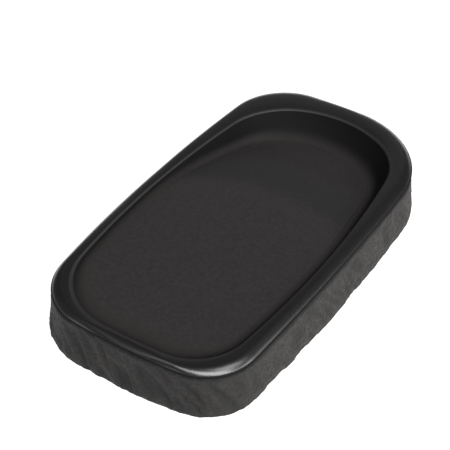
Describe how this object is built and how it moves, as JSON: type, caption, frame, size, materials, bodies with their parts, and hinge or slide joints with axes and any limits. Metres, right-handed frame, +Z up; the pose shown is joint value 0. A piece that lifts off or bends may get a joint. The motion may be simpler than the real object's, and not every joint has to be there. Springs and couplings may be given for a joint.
{
  "type": "ink stone",
  "caption": "Rounded rectangular natural ink stone with a smooth raised rim, a flat grinding land and a slope down to an ink well; hewn wall and flat underside.",
  "frame": {"origin": "middle of the flat underside", "axes": "+X across the stone, +Y along it towards the ink well, +Z up out of the hollow"},
  "size_m": [0.0745, 0.136, 0.017],
  "materials": {
    "slate": "ground and waxed to a satin inside and on the rim, hewn on the wall"
  },
  "bodies": {
    "root": {"ink_stone": "slate"}
  },
  "joints": []
}
